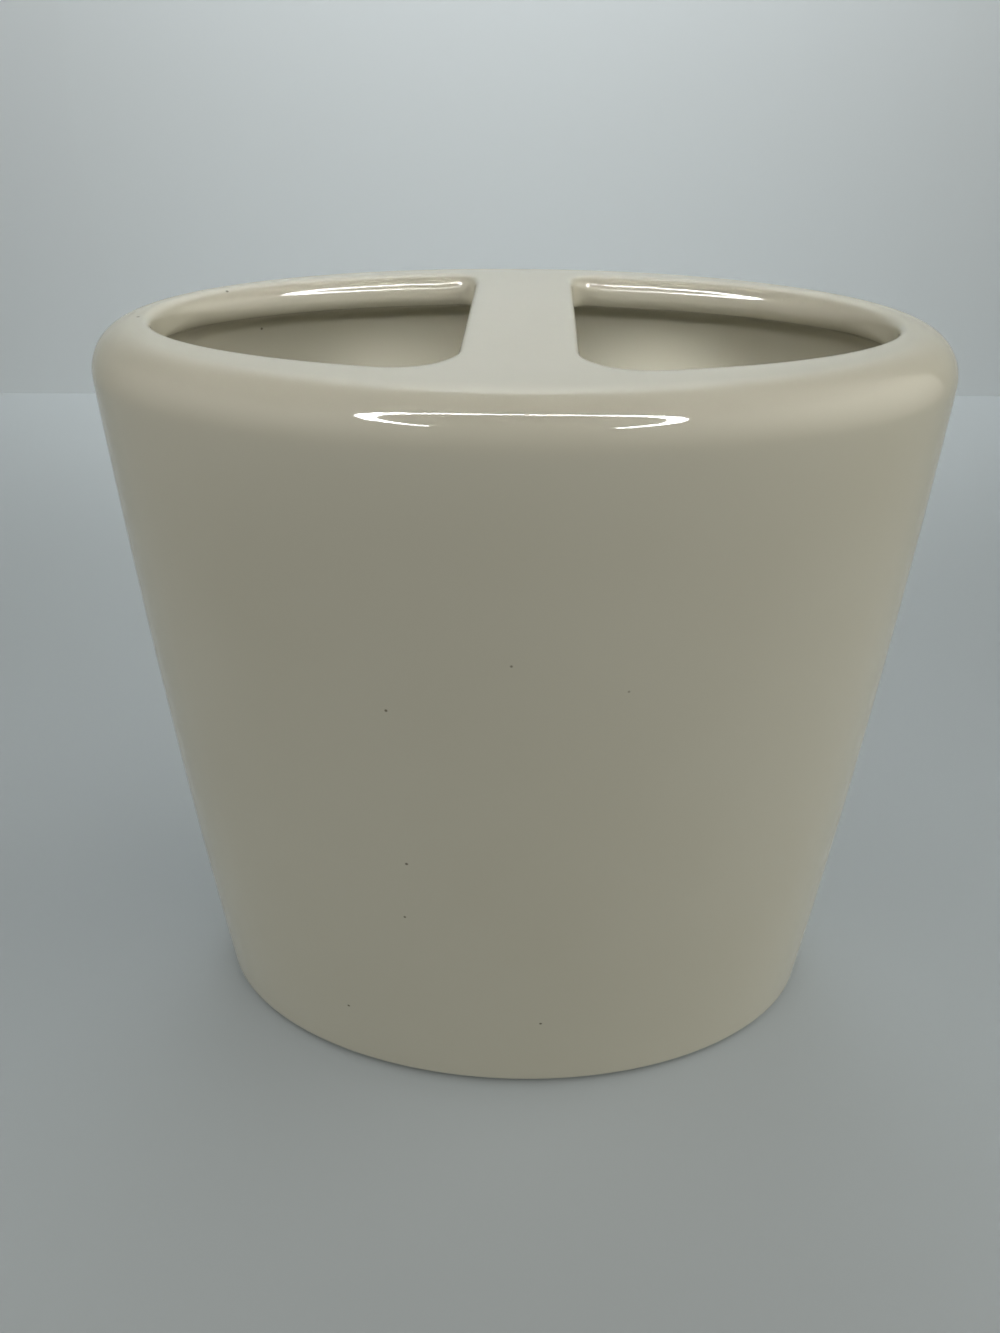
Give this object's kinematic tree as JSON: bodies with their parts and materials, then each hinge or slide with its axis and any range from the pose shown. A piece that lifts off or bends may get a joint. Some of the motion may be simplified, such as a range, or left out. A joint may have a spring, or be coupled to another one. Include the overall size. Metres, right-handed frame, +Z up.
{
  "type": "toothbrush holder",
  "caption": "Free-standing oval bathroom toothbrush holder in glossy cream glazed ceramic, with a bridge dividing its open top into D-shaped slots.",
  "frame": {"origin": "centre of the oval footprint, on the surface the holder stands on", "axes": "+X to the right along the oval's length, +Y to the back, +Z up; the side seen in the picture faces -Y"},
  "size_m": [0.11, 0.07, 0.112],
  "materials": {
    "glaze": "glossy cream glaze",
    "bisque": "dry unglazed fired clay",
    "pad": "matt foam rubber"
  },
  "bodies": {
    "root": {"body_wall": "glaze", "floor": "glaze", "foot_ring": "bisque", "rim": "glaze", "bridge": "glaze", "pad_front_left": "pad", "pad_front_right": "pad", "pad_rear_left": "pad", "pad_rear_right": "pad"}
  },
  "joints": []
}
